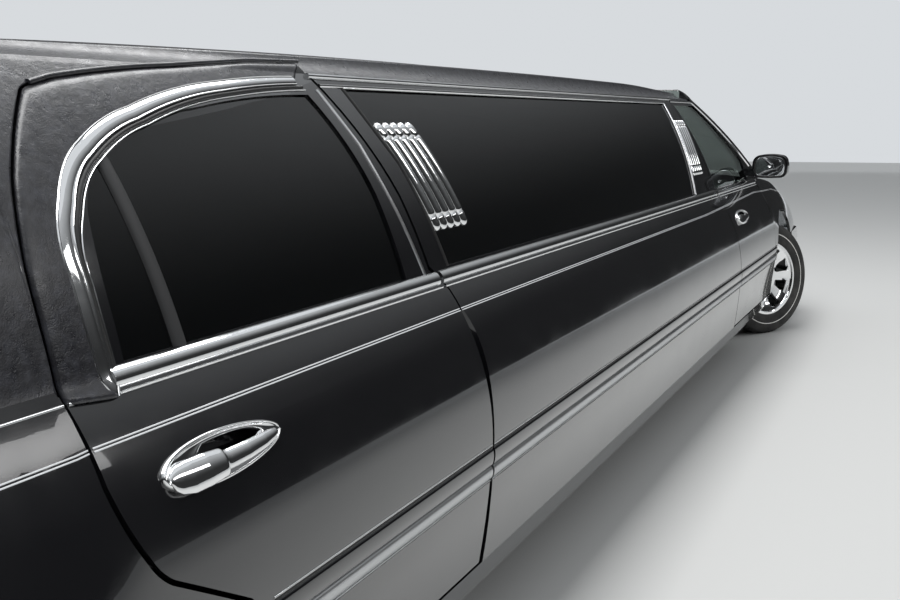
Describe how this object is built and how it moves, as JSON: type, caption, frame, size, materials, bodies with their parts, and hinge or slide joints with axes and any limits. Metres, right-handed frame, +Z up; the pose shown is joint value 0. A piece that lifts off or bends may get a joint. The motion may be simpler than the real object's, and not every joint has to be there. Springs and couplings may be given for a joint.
{
  "type": "stretch limousine, full-size four-door saloon body with a lengthened middle",
  "caption": "Long black stretched saloon with a vinyl-covered roof, long dark side windows with chrome bars, and opening doors, bonnet and boot, on steered chrome wheels",
  "frame": {"origin": "on the ground, in the middle of the car's length and width", "axes": "+X forward along the car, +Y to its left, +Z up"},
  "size_m": [8.519, 2.176, 1.499],
  "materials": {
    "black_paint": "deep gloss with clear lacquer",
    "vinyl_roof": "grained black vinyl, soft sheen",
    "chrome": "bright mirror",
    "dark_glass": "very dark privacy tint",
    "clear_glass": "light green tint",
    "tyre_rubber": "matte with a thin white line",
    "frame_steel": "satin black chassis paint",
    "bare_steel": "machined and cast steel",
    "lamp_red": "clear red lens",
    "lamp_clear": "clear lens over bright reflectors",
    "black_leather": "soft black seat leather",
    "cabin_plastic": "fine grained dark trim",
    "carpet": "short pile over floor steel",
    "bar_wood": "polished dark veneer"
  },
  "bodies": {
    "body": {"bar_cabinet": "bar_wood", "cowl_panel": "black_paint", "dashboard": "cabin_plastic", "engine_block": "bare_steel", "exhaust_system": "bare_steel", "floor_pan": "carpet", "frame_end_sections": "frame_steel", "front_bumper": "black_paint", "front_fenders": "black_paint", "front_seats": "black_leather", "front_suspension": "frame_steel", "fuel_tank": "frame_steel", "gearbox": "bare_steel", "grille": "chrome", "headlamps": "lamp_clear", "ladder_frame": "frame_steel", "long_windows": "dark_glass", "lounge_seats": "black_leather", "partition": "cabin_plastic", "propeller_shaft": "bare_steel", "quarter_panels": "black_paint", "rear_axle": "frame_steel", "rear_bumper": "black_paint", "rear_deck": "black_paint", "rear_window": "dark_glass", "roof_panel": "vinyl_roof", "side_panels": "black_paint", "sill_panels": "black_paint", "tail_lamps": "lamp_red", "tail_panel": "black_paint", "window_bars": "chrome", "windscreen": "clear_glass", "windscreen_pillars": "black_paint"},
    "bonnet": {"bonnet": "black_paint"},
    "boot_lid": {"boot_lid": "black_paint"},
    "front_left_door": {"door_mirror_left": "black_paint", "front_left_door": "black_paint", "front_left_door_glass": "clear_glass", "front_left_door_handle": "chrome"},
    "front_right_door": {"door_mirror_right": "black_paint", "front_right_door": "black_paint", "front_right_door_glass": "clear_glass", "front_right_door_handle": "chrome"},
    "front_left_wheel": {"front_left_rim": "chrome", "front_left_tyre": "tyre_rubber"},
    "front_right_wheel": {"front_right_rim": "chrome", "front_right_tyre": "tyre_rubber"},
    "left_knuckle": {"knuckle_left": "bare_steel"},
    "right_knuckle": {"knuckle_right": "bare_steel"},
    "rear_left_door": {"rear_left_door": "black_paint", "rear_left_door_glass": "dark_glass", "rear_left_door_handle": "chrome"},
    "rear_left_wheel": {"rear_left_rim": "chrome", "rear_left_tyre": "tyre_rubber"},
    "rear_right_door": {"rear_right_door": "black_paint", "rear_right_door_glass": "dark_glass", "rear_right_door_handle": "chrome"},
    "rear_right_wheel": {"rear_right_rim": "chrome", "rear_right_tyre": "tyre_rubber"},
    "steering_wheel": {"steering_wheel": "cabin_plastic"}
  },
  "joints": [
    {"name": "left_steering", "type": "hinge", "parent": "body", "child": "left_knuckle", "pos_m": [3.2395, 0.785, 0.33], "axis": [0, 0, 1], "range_deg": [-1, 71]},
    {"name": "front_left_roll", "type": "hinge", "parent": "left_knuckle", "child": "front_left_wheel", "pos_m": [3.26244, 0.81777, 0.33], "axis": [0.5736, 0.8192, 0], "continuous": true},
    {"name": "rear_left_roll", "type": "hinge", "parent": "body", "child": "rear_left_wheel", "pos_m": [-2.7985, 0.833, 0.33], "axis": [0, 1, 0], "continuous": true},
    {"name": "front_left_door_hinge", "type": "hinge", "parent": "body", "child": "front_left_door", "pos_m": [2.7795, 0.955, 0.5], "axis": [0, 0, -1], "range_deg": [0, 66]},
    {"name": "rear_left_door_hinge", "type": "hinge", "parent": "body", "child": "rear_left_door", "pos_m": [-1.3405, 0.955, 0.5], "axis": [0, 0, -1], "range_deg": [0, 66]},
    {"name": "right_steering", "type": "hinge", "parent": "body", "child": "right_knuckle", "pos_m": [3.2395, -0.785, 0.33], "axis": [0, 0, 1], "range_deg": [-1, 71]},
    {"name": "front_right_roll", "type": "hinge", "parent": "right_knuckle", "child": "front_right_wheel", "pos_m": [3.21656, -0.81777, 0.33], "axis": [0.5736, 0.8192, 0], "continuous": true},
    {"name": "rear_right_roll", "type": "hinge", "parent": "body", "child": "rear_right_wheel", "pos_m": [-2.7985, -0.833, 0.33], "axis": [0, 1, 0], "continuous": true},
    {"name": "front_right_door_hinge", "type": "hinge", "parent": "body", "child": "front_right_door", "pos_m": [2.7795, -0.955, 0.5], "axis": [0, 0, 1], "range_deg": [0, 66]},
    {"name": "rear_right_door_hinge", "type": "hinge", "parent": "body", "child": "rear_right_door", "pos_m": [-1.3405, -0.955, 0.5], "axis": [0, 0, 1], "range_deg": [0, 66]},
    {"name": "steering_column", "type": "hinge", "parent": "body", "child": "steering_wheel", "pos_m": [2.3345, 0.37, 0.862], "axis": [-0.9195, 0, 0.3932], "range_deg": [-15, 1065]},
    {"name": "bonnet_hinge", "type": "hinge", "parent": "body", "child": "bonnet", "pos_m": [3.0295, 0, 0.99], "axis": [0, -1, 0], "range_deg": [0, 50]},
    {"name": "boot_hinge", "type": "hinge", "parent": "body", "child": "boot_lid", "pos_m": [-3.3435, 0, 1.075], "axis": [0, 1, 0], "range_deg": [0, 75]}
  ],
  "couplings": [
    {"joint": "right_steering", "follows": "left_steering", "ratio": 1},
    {"joint": "steering_column", "follows": "left_steering", "ratio": 15}
  ]
}
